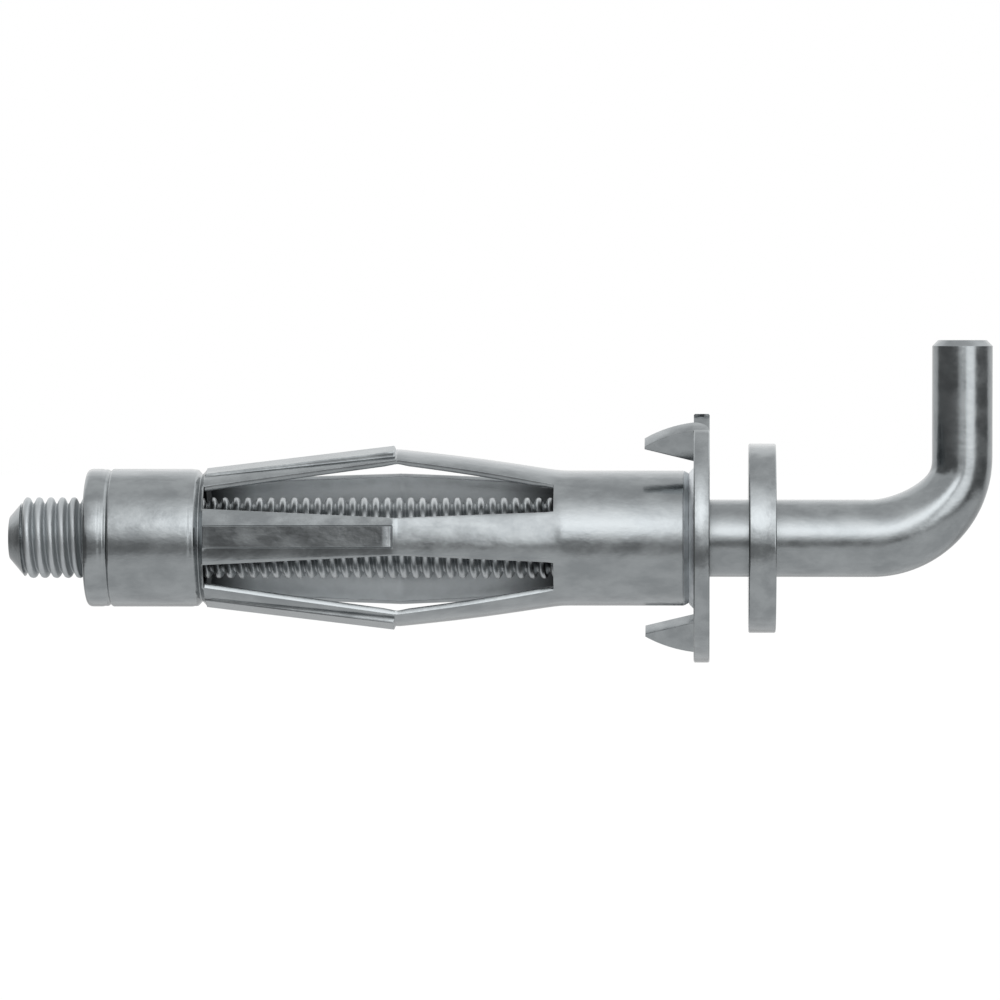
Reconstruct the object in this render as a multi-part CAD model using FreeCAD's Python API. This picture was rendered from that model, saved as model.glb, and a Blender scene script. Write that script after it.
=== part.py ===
import FreeCAD, Part
import math
import os
from FreeCAD import Vector

os.makedirs("parts", exist_ok=True)

# A metal hollow wall anchor with an angled hook, as it comes out of the box.
# Lengths are in mm. The origin is the centre of the collar plate's wall face,
# +X points out of the wall along the screw, and +Z is the way the hook turns up.

# Sleeve: rolled from one sheet of steel
SHEET = 0.45
SLEEVE_LENGTH = 52.1
TAIL_DIAMETER = 11.84
TAIL_LENGTH = 10.3
TAIL_EDGE_RADIUS = 0.65
TAIL_EDGE_STEPS = 3
TAIL_LIP_DIAMETER = 9.2
CRIMP_FROM_END = 1.96
CRIMP_WIDTH = 0.5
CRIMP_DEPTH = 0.18
NECK_IN_FROM_LEGS = 0.4
NECK_IN_DEPTH = 0.47
NECK_IN_SHOULDER = 0.8
TUBE_DIAMETER = 11.6
TUBE_LENGTH = 11.94
TUBE_END_LENGTH = 0.45
TUBE_END_DROP = 0.25
SEAM_GAP = 0.1

# Five legs between the tail and the front tube, folded outward at the waist.
# Each has a raised panel from the tail to the waist, which keeps it stiff there,
# and is scored across its inside at the waist, where it folds.
LEGS = 5
LEG_ANGLE = 3.0
WAIST_FROM_PLATE = 25.3
WAIST_RADIUS = 7.7
LEG_ROOT_DROP = 0.1
LEG_TAIL_WIDTH = 4.85
LEG_WAIST_WIDTH = 3.18
LEG_FRONT_WIDTH = 4.34
SCORE_RADIUS = 2.2
SCORE_DEPTH = 0.08
PANEL_WIDTH = 1.85
PANEL_ROOT_RISE = 0.12
PANEL_WAIST_RISE = 0.3
PANEL_END_FROM_WAIST = 0.15
PANEL_WALL_SLOPE = 0.5

# Collar plate: a stamped disc with two claws folded from its rim
PLATE_DIAMETER = 21.35
PLATE_THICKNESS = 1.36
PLATE_EDGE_CHAMFER = 0.1
HUB_HEIGHT = 0.4
HUB_DIAMETER = 12.12
HUB_TOP_DIAMETER = 11.3
NECK_DIAMETER = 10.8
FLARE = 0.4
SEAT_CLEARANCE = 0.02
CLAW_ANGLE = 59.0
CLAW_OFFSET = 0.52
CLAW_INNER_RADIUS = 7.5
CLAW_LENGTH = 4.18
CLAW_TIP_RADIUS = 8.7
CLAW_TIP_WIDTH = 0.25
CLAW_SHEAR_GAP = 0.12

# Nut: crimped inside the tail
NUT_CLEARANCE = 0.02
NUT_CHAMFER = 0.35
THREAD_CLEARANCE = 0.06

# Hook screw: one piece of wire, threaded, then bent and drawn down to the hook
THREAD_DIAMETER = 6.95
THREAD_PITCH = 1.0
SHANK_DIAMETER = 6.64
SCREW_REACH = 58.8
THREAD_END_FROM_PLATE = 2.6
TIP_DIAMETER = 3.68
TIP_LENGTH = 1.4
BEND_FROM_PLATE = 15.3
BEND_OUTER_RADIUS = 10.3
BEND_INNER_RADIUS = 7.04
UPRIGHT_DIAMETER = 5.18
HOOK_HEIGHT = 17.0
HOOK_TIP_CHAMFER = 0.5
BEND_STEPS = 5
CREASE_STEPS = 2

# Stop disc: pressed on to the shank in front of the collar plate
DISC_DIAMETER = 16.24
DISC_THICKNESS = 2.34
DISC_CHAMFER = 0.16
DISC_TRAVEL = 3.33
DISC_CLEARANCE = 0.03

# Places along the axis that several pieces share
TAIL_END = -SLEEVE_LENGTH
LEG_TAIL_ROOT = TAIL_END + TAIL_LENGTH
WAIST = -WAIST_FROM_PLATE
LEG_FRONT_ROOT = -TUBE_LENGTH
CRIMP = TAIL_END + CRIMP_FROM_END
NECK_IN = LEG_TAIL_ROOT - NECK_IN_FROM_LEGS
NUT_START = TAIL_END + SHEET
NUT_END = NECK_IN - NECK_IN_SHOULDER
DISC_START = PLATE_THICKNESS + DISC_TRAVEL

TAIL_RADIUS = TAIL_DIAMETER / 2
TUBE_RADIUS = TUBE_DIAMETER / 2
NECK_RADIUS = NECK_DIAMETER / 2
PLATE_RADIUS = PLATE_DIAMETER / 2
SHANK_RADIUS = SHANK_DIAMETER / 2

AXIS = Vector(1, 0, 0)
ORIGIN = Vector(0, 0, 0)


def line(a, b):
    return Part.LineSegment(a, b).toShape()


def face_of(points):
    """A flat face inside a closed run of straight edges."""
    return Part.Face(Part.makePolygon(points + points[:1]))


def turned(points):
    """A solid of revolution about the screw axis from (x, radius) points."""
    return face_of([Vector(x, 0, r) for x, r in points]).revolve(ORIGIN, AXIS, 360)


def at_angle(shape, angle):
    """A copy turned about the axis: 0 degrees faces -Y and 90 degrees faces +Z."""
    copy = shape.copy()
    copy.rotate(ORIGIN, AXIS, 90 - angle)
    return copy


def rounded(x, radius, size, steps):
    """(x, radius) points round an outer corner at the low-x end of a ring."""
    points = []
    for step in range(steps + 1):
        turn = math.pi / 2 * step / steps
        points.append((x + size * (1 - math.sin(turn)), radius - size * (1 - math.cos(turn))))
    return points[::-1]


def tail_ring():
    """The tail: its end rolled in, a crimp groove, and a neck behind the nut."""
    lip = TAIL_LIP_DIAMETER / 2
    half = CRIMP_WIDTH / 2
    crimped = TAIL_RADIUS - CRIMP_DEPTH
    necked = TAIL_RADIUS - NECK_IN_DEPTH
    root = TAIL_RADIUS
    outer = [(TAIL_END, lip)] + rounded(TAIL_END, TAIL_RADIUS, TAIL_EDGE_RADIUS, TAIL_EDGE_STEPS) + [
        (CRIMP - half, TAIL_RADIUS),
        (CRIMP, crimped),
        (CRIMP + half, TAIL_RADIUS),
        (NECK_IN - NECK_IN_SHOULDER, TAIL_RADIUS),
        (NECK_IN, necked),
        (LEG_TAIL_ROOT, root),
    ]
    inner = [
        (LEG_TAIL_ROOT, root - SHEET),
        (NECK_IN, necked - SHEET),
        (NECK_IN - NECK_IN_SHOULDER, TAIL_RADIUS - SHEET),
        (CRIMP + half, TAIL_RADIUS - SHEET),
        (CRIMP, crimped - SHEET),
        (CRIMP - half, TAIL_RADIUS - SHEET),
        (TAIL_END + SHEET, TAIL_RADIUS - SHEET),
        (TAIL_END + SHEET, lip),
    ]
    return turned(outer + inner)


def front_tube():
    """The front tube, its neck through the collar plate and its flared end."""
    bore = TUBE_RADIUS - SHEET
    neck_bore = NECK_RADIUS - SHEET
    front = PLATE_THICKNESS
    return turned([
        (LEG_FRONT_ROOT, bore),
        (LEG_FRONT_ROOT, TUBE_RADIUS),
        (-HUB_HEIGHT - TUBE_END_LENGTH, TUBE_RADIUS),
        (-HUB_HEIGHT, TUBE_RADIUS - TUBE_END_DROP),
        (-HUB_HEIGHT, NECK_RADIUS),
        (front - FLARE, NECK_RADIUS),
        (front, NECK_RADIUS + FLARE),
        (front, neck_bore + FLARE),
        (front - FLARE, neck_bore),
        (-HUB_HEIGHT - SHEET, neck_bore),
        (-HUB_HEIGHT - SHEET, bore),
    ])


def leg_outline():
    """A tall prism with the leg's outline in plan, as the window dies cut it."""
    half_tail = LEG_TAIL_WIDTH / 2
    half_waist = LEG_WAIST_WIDTH / 2
    half_front = LEG_FRONT_WIDTH / 2
    start = LEG_TAIL_ROOT - SHEET
    end = LEG_FRONT_ROOT + SHEET
    outline = face_of([
        Vector(start, -half_tail, 0),
        Vector(WAIST, -half_waist, 0),
        Vector(end, -half_front, 0),
        Vector(end, half_front, 0),
        Vector(WAIST, half_waist, 0),
        Vector(start, half_tail, 0),
    ])
    return outline.extrude(Vector(0, 0, 2 * WAIST_RADIUS))


def curved_run(start, end, radius, above, below):
    """Curved sheet whose crown climbs in a straight line between two (x, crown) points."""
    low = Vector(start[0], 0, start[1] - radius)
    high = Vector(end[0], 0, end[1] - radius)
    along = (high - low).normalize()
    base = low - along * radius
    length = (high - low).Length + 2 * radius
    outer = Part.makeCylinder(radius + above, length, base, along)
    inner = Part.makeCylinder(radius - below, length, base, along)
    width = 4 * radius
    span = Part.makeBox(end[0] - start[0], width, width, Vector(start[0], -width / 2, 0))
    return outer.cut(inner).common(span)


def panel_bar():
    """The bar that bounds the flat panel: its top climbs faster than the sheet's crown."""
    start = LEG_TAIL_ROOT
    end = WAIST - PANEL_END_FROM_WAIST
    foot = WAIST_RADIUS - SHEET / 2
    root_top = TAIL_RADIUS - LEG_ROOT_DROP + PANEL_ROOT_RISE
    side = face_of([
        Vector(start, -PANEL_WIDTH / 2, 0),
        Vector(start, -PANEL_WIDTH / 2, root_top),
        Vector(end - PANEL_WALL_SLOPE, -PANEL_WIDTH / 2, WAIST_RADIUS + PANEL_WAIST_RISE),
        Vector(end, -PANEL_WIDTH / 2, foot),
        Vector(end, -PANEL_WIDTH / 2, 0),
    ])
    return side.extrude(Vector(0, PANEL_WIDTH, 0))


def score():
    """The tool that presses a shallow score across the inside of the leg at its waist."""
    low = WAIST_RADIUS - SHEET + SCORE_DEPTH - SCORE_RADIUS
    return Part.makeCylinder(
        SCORE_RADIUS, 2 * WAIST_RADIUS, Vector(WAIST, -WAIST_RADIUS, low), Vector(0, 1, 0))


def leg():
    """One leg along +Z: a panelled half from the tail, then a plain half to the tube."""
    crown = TAIL_RADIUS - LEG_ROOT_DROP
    tail_root = (LEG_TAIL_ROOT - SHEET, crown)
    waist = (WAIST, WAIST_RADIUS)
    front_root = (LEG_FRONT_ROOT + SHEET, TUBE_RADIUS)
    rear = curved_run(tail_root, waist, crown, 0, SHEET)
    front = curved_run(waist, front_root, TUBE_RADIUS, 0, SHEET)
    strip = rear.fuse(front).common(leg_outline())
    panel = curved_run(tail_root, waist, crown, SHEET, SHEET).common(panel_bar())
    return strip.fuse(panel).cut(score())


def sleeve():
    """Tail, five legs and front tube as the one rolled sheet, with its butt seam."""
    shape = tail_ring().fuse(front_tube())
    one_leg = leg()
    legs = [at_angle(one_leg, LEG_ANGLE + 360 / LEGS * index) for index in range(LEGS)]
    shape = shape.fuse(legs).removeSplitter()
    length = SLEEVE_LENGTH + PLATE_THICKNESS
    slit = Part.makeBox(length, SEAM_GAP, TAIL_DIAMETER, Vector(TAIL_END, -SEAM_GAP / 2, 0))
    return shape.cut(at_angle(slit, LEG_ANGLE + 180))


def claw():
    """One claw along +Z, standing off the wall face, with the quarter bend at its root."""
    tangent = CLAW_OFFSET
    bend_middle = math.pi / 4 * PLATE_THICKNESS
    arc_centre = tangent + bend_middle
    tip = -CLAW_LENGTH
    tip_outer = CLAW_TIP_RADIUS + CLAW_TIP_WIDTH
    root_outer = math.sqrt(PLATE_RADIUS ** 2 - arc_centre ** 2)
    half_run = arc_centre + CLAW_LENGTH / 2
    middle_outer = math.sqrt(PLATE_RADIUS ** 2 - half_run ** 2)
    rim = Part.Arc(
        Vector(0, tangent, root_outer),
        Vector(tip / 2, tangent, middle_outer),
        Vector(tip, tangent, tip_outer)).toShape()
    outline = Part.Wire([
        rim,
        line(Vector(tip, tangent, tip_outer), Vector(tip, tangent, CLAW_TIP_RADIUS)),
        line(Vector(tip, tangent, CLAW_TIP_RADIUS), Vector(0, tangent, CLAW_INNER_RADIUS)),
        line(Vector(0, tangent, CLAW_INNER_RADIUS), Vector(0, tangent, root_outer)),
    ])
    blade = Part.Face(outline).extrude(Vector(0, PLATE_THICKNESS, 0))
    bend = Part.makeCylinder(
        PLATE_THICKNESS, root_outer - CLAW_INNER_RADIUS,
        Vector(0, tangent, CLAW_INNER_RADIUS), Vector(0, 0, 1))
    corner = Part.makeBox(
        PLATE_THICKNESS, PLATE_THICKNESS, PLATE_RADIUS, Vector(0, tangent, 0))
    return blade.fuse(bend.common(corner))


def claw_blank():
    """What the claw leaves behind in the disc: its own outline laid back into the rim."""
    tangent = CLAW_OFFSET
    developed = math.pi / 4 * PLATE_THICKNESS + CLAW_LENGTH
    inner = CLAW_INNER_RADIUS - CLAW_SHEAR_GAP
    far = tangent + developed + CLAW_SHEAR_GAP
    blank = face_of([
        Vector(-PLATE_THICKNESS, tangent, inner),
        Vector(-PLATE_THICKNESS, tangent, 2 * PLATE_RADIUS),
        Vector(-PLATE_THICKNESS, far, 2 * PLATE_RADIUS),
        Vector(-PLATE_THICKNESS, far, CLAW_TIP_RADIUS - CLAW_SHEAR_GAP),
    ])
    return blank.extrude(Vector(3 * PLATE_THICKNESS, 0, 0))


def collar_plate():
    """The stamped disc, drawn into a low hub round the sleeve's neck, and its claws."""
    hole = NECK_RADIUS + SEAT_CLEARANCE
    front = PLATE_THICKNESS
    chamfer = PLATE_EDGE_CHAMFER
    plate = turned([
        (-HUB_HEIGHT, hole),
        (-HUB_HEIGHT, HUB_TOP_DIAMETER / 2),
        (0, HUB_DIAMETER / 2),
        (0, PLATE_RADIUS - chamfer),
        (chamfer, PLATE_RADIUS),
        (front - chamfer, PLATE_RADIUS),
        (front, PLATE_RADIUS - chamfer),
        (front, hole + FLARE),
        (front - FLARE, hole),
    ])
    for angle in (CLAW_ANGLE, CLAW_ANGLE + 180):
        plate = plate.cut(at_angle(claw_blank(), angle))
        plate = plate.fuse(at_angle(claw(), angle))
    return plate.removeSplitter()


def nut():
    """The round nut that the tail is crimped on to, seated against the rolled-in end."""
    outer = TAIL_RADIUS - SHEET - NUT_CLEARANCE
    bore = THREAD_DIAMETER / 2 + THREAD_CLEARANCE
    half = CRIMP_WIDTH / 2
    return turned([
        (NUT_START, bore),
        (NUT_START, outer - NUT_CHAMFER),
        (NUT_START + NUT_CHAMFER, outer),
        (CRIMP - half, outer),
        (CRIMP, outer - CRIMP_DEPTH),
        (CRIMP + half, outer),
        (NUT_END - NUT_CHAMFER, outer),
        (NUT_END, outer - NUT_CHAMFER),
        (NUT_END, bore),
    ])


def bend_circle(angle, upright_inside):
    """The round section of the bend at one angle, between its outer and inner arcs."""
    offset = SHANK_DIAMETER + BEND_INNER_RADIUS - BEND_OUTER_RADIUS
    sine = math.sin(angle)
    cosine = math.cos(angle)
    inside = math.sqrt(BEND_INNER_RADIUS ** 2 - (offset * sine) ** 2) - offset * cosine
    if sine > 0:
        inside = min(inside, upright_inside / sine)
    middle = (BEND_OUTER_RADIUS + inside) / 2
    circle = Part.Wire(Part.makeCircle((BEND_OUTER_RADIUS - inside) / 2, ORIGIN, AXIS))
    circle.rotate(ORIGIN, Vector(0, -1, 0), math.degrees(angle))
    circle.translate(Vector(
        BEND_FROM_PLATE + middle * sine, 0,
        BEND_OUTER_RADIUS - SHANK_RADIUS - middle * cosine))
    return circle


def bend_run(start, end, steps, upright_inside):
    """One stretch of the bend, lofted through evenly turned sections."""
    angles = [start + (end - start) * step / steps for step in range(steps + 1)]
    return Part.makeLoft([bend_circle(angle, upright_inside) for angle in angles], True)


def hook_bend():
    """The bend: thick wire drawn down to the upright, with a crease inside its top."""
    upright_inside = BEND_OUTER_RADIUS - UPRIGHT_DIAMETER
    offset = SHANK_DIAMETER + BEND_INNER_RADIUS - BEND_OUTER_RADIUS
    inner_height = math.sqrt(BEND_INNER_RADIUS ** 2 - upright_inside ** 2) - offset
    crease = math.atan2(upright_inside, inner_height)
    lower = bend_run(0, crease, BEND_STEPS, upright_inside)
    return lower.fuse(bend_run(crease, math.pi / 2, CREASE_STEPS, upright_inside))


def hook_screw():
    """Screw, shank, bend and upright; the thread is a plain cylinder at its crests."""
    tip = -SCREW_REACH
    crest = THREAD_DIAMETER / 2
    thread_end = -THREAD_END_FROM_PLATE
    bar = turned([
        (tip, 0),
        (tip, TIP_DIAMETER / 2),
        (tip + TIP_LENGTH, crest),
        (thread_end, crest),
        (thread_end + THREAD_PITCH, SHANK_RADIUS),
        (BEND_FROM_PLATE, SHANK_RADIUS),
        (BEND_FROM_PLATE, 0),
    ])
    radius = UPRIGHT_DIAMETER / 2
    upright_x = BEND_FROM_PLATE + BEND_OUTER_RADIUS - radius
    bend_top = BEND_OUTER_RADIUS - SHANK_RADIUS
    chamfer_foot = HOOK_HEIGHT - HOOK_TIP_CHAMFER
    upright = Part.makeCylinder(radius, chamfer_foot - bend_top, Vector(upright_x, 0, bend_top))
    chamfer = Part.makeCone(
        radius, radius - HOOK_TIP_CHAMFER, HOOK_TIP_CHAMFER, Vector(upright_x, 0, chamfer_foot))
    return bar.fuse([hook_bend(), upright, chamfer]).removeSplitter()


def stop_disc():
    """The thick disc on the shank, which meets the collar plate when it is tight."""
    bore = SHANK_RADIUS + DISC_CLEARANCE
    radius = DISC_DIAMETER / 2
    end = DISC_START + DISC_THICKNESS
    return turned([
        (DISC_START, bore),
        (DISC_START, radius - DISC_CHAMFER),
        (DISC_START + DISC_CHAMFER, radius),
        (end - DISC_CHAMFER, radius),
        (end, radius - DISC_CHAMFER),
        (end, bore),
    ])


def export(name, shape):
    shape.exportStep("parts/" + name + ".step")
    print(name, len(shape.Solids), round(shape.Volume, 2), shape.isValid())


export("sleeve", sleeve())
export("collar_plate", collar_plate())
export("nut", nut())
export("hook_screw", hook_screw())
export("stop_disc", stop_disc())
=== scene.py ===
import math

import bmesh
import bpy
from mathutils import Matrix, Vector


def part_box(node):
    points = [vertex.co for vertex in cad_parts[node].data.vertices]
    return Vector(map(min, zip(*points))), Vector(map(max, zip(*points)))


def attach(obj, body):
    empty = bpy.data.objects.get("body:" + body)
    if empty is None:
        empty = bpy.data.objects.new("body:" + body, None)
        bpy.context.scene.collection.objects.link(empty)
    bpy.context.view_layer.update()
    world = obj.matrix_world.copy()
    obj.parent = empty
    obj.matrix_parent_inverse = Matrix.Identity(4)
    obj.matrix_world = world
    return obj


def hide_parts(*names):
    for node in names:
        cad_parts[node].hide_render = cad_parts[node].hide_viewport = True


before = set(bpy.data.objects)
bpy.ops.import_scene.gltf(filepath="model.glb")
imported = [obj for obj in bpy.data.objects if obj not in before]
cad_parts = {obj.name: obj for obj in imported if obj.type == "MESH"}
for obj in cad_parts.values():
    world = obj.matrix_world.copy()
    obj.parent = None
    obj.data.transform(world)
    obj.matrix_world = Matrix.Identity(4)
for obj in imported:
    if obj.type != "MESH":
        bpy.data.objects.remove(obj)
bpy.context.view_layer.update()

MM = 0.001


# Hook screw: one piece of drawn wire. The thread is rolled on, the shank is
# plain, and the end is drawn down as it is bent up into the hook.

THREAD_PITCH = 1.0 * MM
THREAD_CREST = 3.475 * MM
THREAD_ROOT = 2.93 * MM
THREAD_STEPS = 32
THREAD_FLANK = [(0, 0), (0.07, 0.08), (0.2, 0.6), (0.28, 0.85), (0.38, 0.97)]
THREAD_OVERRUN = 2
THREAD_WELD = 0.002 * MM
BLANK_START = 0.2 * MM
BLANK_END = 0.9 * MM
LIMIT_CLEARANCE = 0.3 * MM
SHANK_RADIUS = 3.32 * MM
TIP_RADIUS = 1.84 * MM
TIP_LENGTH = 1.4 * MM
THREAD_END = -2.6 * MM
STUB_LENGTH = 0.3 * MM
STUB_DRAFT = 0.05 * MM
RUN_OUT_LENGTH = 0.6 * MM
SHANK_STEPS = 12
BEND_START = 15.3 * MM
BEND_OUTER_RADIUS = 10.298 * MM
BEND_INNER_RADIUS = 7.04 * MM
BEND_BLEND = 2.2 * MM
BEND_STEPS = 36
UPRIGHT_STEPS = 8
UPRIGHT_RADIUS = 2.59 * MM
HOOK_CHAMFER = 0.5 * MM
WIRE_SIDES = 96
SHARP_ANGLE = math.radians(32)
SAME_PLACE = 0.0001 * MM
CUT_TOLERANCE = 0.00001 * MM

hook_low, hook_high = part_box("hook_screw")
AXIS = Vector((1, 0, 0))
ORIGIN = Vector((0, 0, 0))


def new_piece(name, mesh):
    """A piece from a bmesh, shaded smooth apart from its sharp edges."""
    data = bpy.data.meshes.new(name)
    mesh.to_mesh(data)
    mesh.free()
    data.shade_smooth()
    data.set_sharp_from_angle(angle=SHARP_ANGLE)
    piece = bpy.data.objects.new(name, data)
    bpy.context.scene.collection.objects.link(piece)
    return piece


def add_run(mesh, points):
    """A run of vertices and edges through (x, radius) points, in the XZ plane."""
    verts = [mesh.verts.new((x, 0, r)) for x, r in points]
    edges = [mesh.edges.new(pair) for pair in zip(verts, verts[1:])]
    return verts + edges


def turn(mesh, points, sides):
    """A turned shape about the screw axis from a run of (x, radius) points."""
    bmesh.ops.spin(
        mesh, geom=add_run(mesh, points), cent=ORIGIN, axis=AXIS,
        angle=math.tau, steps=sides, use_merge=True)
    bmesh.ops.remove_doubles(mesh, verts=mesh.verts, dist=SAME_PLACE)
    bmesh.ops.recalc_face_normals(mesh, faces=mesh.faces)


def combine(piece, other, operation):
    """The first piece after one boolean with the other, which is then removed."""
    cutter = piece.modifiers.new("combine", "BOOLEAN")
    cutter.operation = operation
    cutter.solver = "EXACT"
    cutter.object = other
    graph = bpy.context.evaluated_depsgraph_get()
    data = bpy.data.meshes.new_from_object(piece.evaluated_get(graph))
    piece.modifiers.clear()
    piece.data = data
    bpy.data.objects.remove(other)
    return piece


def rolled_thread():
    """The whole thread: one pitch of its profile, spun as a right-hand helix.

    The flank is given as shares of the pitch and of the depth, from root to crest.
    """
    mesh = bmesh.new()
    start = hook_low.x - THREAD_OVERRUN * THREAD_PITCH
    turns = round((THREAD_END - start) / THREAD_PITCH) + THREAD_OVERRUN
    other_flank = [(1 - along, rise) for along, rise in THREAD_FLANK[::-1]]
    profile = THREAD_FLANK + [(0.5, 1)] + other_flank
    depth = THREAD_CREST - THREAD_ROOT
    run = add_run(mesh, [
        (start + along * THREAD_PITCH, THREAD_ROOT + rise * depth)
        for along, rise in profile])
    bmesh.ops.spin(
        mesh, geom=run, cent=ORIGIN, axis=AXIS, angle=math.tau * turns,
        steps=THREAD_STEPS * turns, dvec=AXIS * THREAD_PITCH / THREAD_STEPS)
    bmesh.ops.remove_doubles(mesh, verts=mesh.verts, dist=THREAD_WELD)
    for place, keep in ((hook_low.x - BLANK_START, 1), (THREAD_END + BLANK_END, -1)):
        cut = bmesh.ops.bisect_plane(
            mesh, geom=mesh.verts[:] + mesh.edges[:] + mesh.faces[:], dist=CUT_TOLERANCE,
            plane_co=(place, 0, 0), plane_no=AXIS * keep, clear_inner=True)
        rim = [item for item in cut["geom_cut"] if isinstance(item, bmesh.types.BMEdge)]
        bmesh.ops.edgenet_fill(mesh, edges=rim)
    bmesh.ops.recalc_face_normals(mesh, faces=mesh.faces)
    return new_piece("thread", mesh)


def thread_limits():
    """What the thread is cut back to: the pointed tip and the run-out at the shank."""
    mesh = bmesh.new()
    wide = THREAD_CREST + LIMIT_CLEARANCE
    run_out = THREAD_CREST - THREAD_ROOT
    turn(mesh, [
        (hook_low.x, 0),
        (hook_low.x, TIP_RADIUS),
        (hook_low.x + TIP_LENGTH, THREAD_CREST),
        (hook_low.x + TIP_LENGTH + LIMIT_CLEARANCE, wide),
        (THREAD_END - LIMIT_CLEARANCE, wide),
        (THREAD_END + run_out, THREAD_ROOT),
        (THREAD_END + run_out, 0),
    ], WIRE_SIDES)
    return new_piece("limits", mesh)


def bend_section(angle):
    """Centre and radius of the wire at one angle round the bend."""
    offset = 2 * SHANK_RADIUS + BEND_INNER_RADIUS - BEND_OUTER_RADIUS
    upright_inside = BEND_OUTER_RADIUS - 2 * UPRIGHT_RADIUS
    sine, cosine = math.sin(angle), math.cos(angle)
    inside = math.sqrt(BEND_INNER_RADIUS ** 2 - (offset * sine) ** 2) - offset * cosine
    if sine > 0:
        drawn = upright_inside / sine
        blend = math.hypot(inside - drawn, BEND_BLEND * cosine)
        inside = (inside + drawn - blend) / 2
    middle = (BEND_OUTER_RADIUS + inside) / 2
    centre = Vector((
        BEND_START + middle * sine, 0, BEND_OUTER_RADIUS - SHANK_RADIUS - middle * cosine))
    return centre, (BEND_OUTER_RADIUS - inside) / 2


def bent_wire():
    """Shank, bend and upright as one tube of rings, closed at both ends."""
    mesh = bmesh.new()
    shank_start = THREAD_END + RUN_OUT_LENGTH
    rings = [
        (Vector((THREAD_END - STUB_LENGTH, 0, 0)), THREAD_ROOT - STUB_DRAFT, 0),
        (Vector((THREAD_END, 0, 0)), THREAD_ROOT, 0),
        (Vector((shank_start, 0, 0)), SHANK_RADIUS, 0),
    ]
    for step in range(1, SHANK_STEPS):
        along = shank_start + (BEND_START - shank_start) * step / SHANK_STEPS
        rings.append((Vector((along, 0, 0)), SHANK_RADIUS, 0))
    for step in range(BEND_STEPS + 1):
        angle = math.pi / 2 * step / BEND_STEPS
        rings.append((*bend_section(angle), angle))
    top = rings[-1][0]
    straight = hook_high.z - HOOK_CHAMFER - top.z
    for step in range(1, UPRIGHT_STEPS + 1):
        place = top + Vector((0, 0, straight * step / UPRIGHT_STEPS))
        rings.append((place, UPRIGHT_RADIUS, math.pi / 2))
    rings.append((
        Vector((top.x, 0, hook_high.z)), UPRIGHT_RADIUS - HOOK_CHAMFER, math.pi / 2))
    previous = None
    for centre, radius, angle in rings:
        place = Matrix.Translation(centre) @ Matrix.Rotation(math.pi / 2 - angle, 4, "Y")
        ring = bmesh.ops.create_circle(
            mesh, cap_ends=False, segments=WIRE_SIDES, radius=radius, matrix=place)
        edges = list({edge for vert in ring["verts"] for edge in vert.link_edges})
        if previous:
            bmesh.ops.bridge_loops(mesh, edges=previous + edges)
        previous = edges
    ends = [edge for edge in mesh.edges if edge.is_boundary]
    bmesh.ops.edgenet_fill(mesh, edges=ends)
    bmesh.ops.recalc_face_normals(mesh, faces=mesh.faces)
    return new_piece("hook", mesh)


# The numbers of a Mix node's sockets when it mixes colours.

MIX_FACTOR = 0
MIX_FIRST = 6
MIX_SECOND = 7
MIX_RESULT = 2


class Field:
    """A value that varies over a surface; arithmetic on it adds Math nodes."""

    def __init__(self, finish, socket):
        self.finish = finish
        self.socket = socket

    def math(self, operation, *values):
        node = self.finish.node(
            "ShaderNodeMath", {"operation": operation}, dict(enumerate(values)))
        return Field(self.finish, node.outputs[0])

    def __add__(self, other):
        return self.math("ADD", self, other)

    def __radd__(self, other):
        return self.math("ADD", other, self)

    def __sub__(self, other):
        return self.math("SUBTRACT", self, other)

    def __rsub__(self, other):
        return self.math("SUBTRACT", other, self)

    def __mul__(self, other):
        return self.math("MULTIPLY", self, other)

    def __rmul__(self, other):
        return self.math("MULTIPLY", other, self)


class Finish:
    """A material under construction: its node tree and its one shader."""

    def __init__(self, name):
        self.material = bpy.data.materials.new(name)
        self.material.use_nodes = True
        self.tree = self.material.node_tree
        self.shader = self.tree.nodes["Principled BSDF"]
        coordinates = self.node("ShaderNodeTexCoord", {}, {})
        self.place = coordinates.outputs["Object"]

    def node(self, kind, settings, inputs):
        """Any node: settings first, then a value or a link for each socket."""
        node = self.tree.nodes.new(kind)
        for key, value in settings.items():
            setattr(node, key, value)
        self.feed(node, inputs)
        return node

    def feed(self, node, inputs):
        """Gives each named or numbered socket its value or its link."""
        for key, value in inputs.items():
            if isinstance(value, Field):
                value = value.socket
            if isinstance(value, bpy.types.NodeSocket):
                self.tree.links.new(value, node.inputs[key])
            else:
                node.inputs[key].default_value = value

    def clouds(self, size, detail, stretch):
        """Noise with features of about one size in metres, 0 to 1."""
        scaled = self.node(
            "ShaderNodeMapping", {}, {"Vector": self.place, "Scale": stretch})
        noise = self.node("ShaderNodeTexNoise", {}, {
            "Vector": scaled.outputs[0], "Scale": 1 / size, "Detail": detail})
        return Field(self, noise.outputs[0])

    def along(self, axis):
        """The place along one axis of the object, in metres."""
        places = self.node("ShaderNodeSeparateXYZ", {}, {"Vector": self.place})
        return Field(self, places.outputs[axis])

    def stretched(self, field, low, high):
        """A field spread so that low becomes 0 and high becomes 1."""
        node = self.node("ShaderNodeMapRange", {"clamp": True}, {
            "Value": field, "From Min": low, "From Max": high})
        return Field(self, node.outputs[0])

    def blend(self, factor, first, second):
        """A colour between two colours."""
        node = self.node("ShaderNodeMix", {"data_type": "RGBA"}, {
            MIX_FACTOR: factor, MIX_FIRST: (*first, 1), MIX_SECOND: (*second, 1)})
        return node.outputs[MIX_RESULT]


# The plating is clouded in patches and in fine grain, and its surface is faintly wavy.

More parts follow.
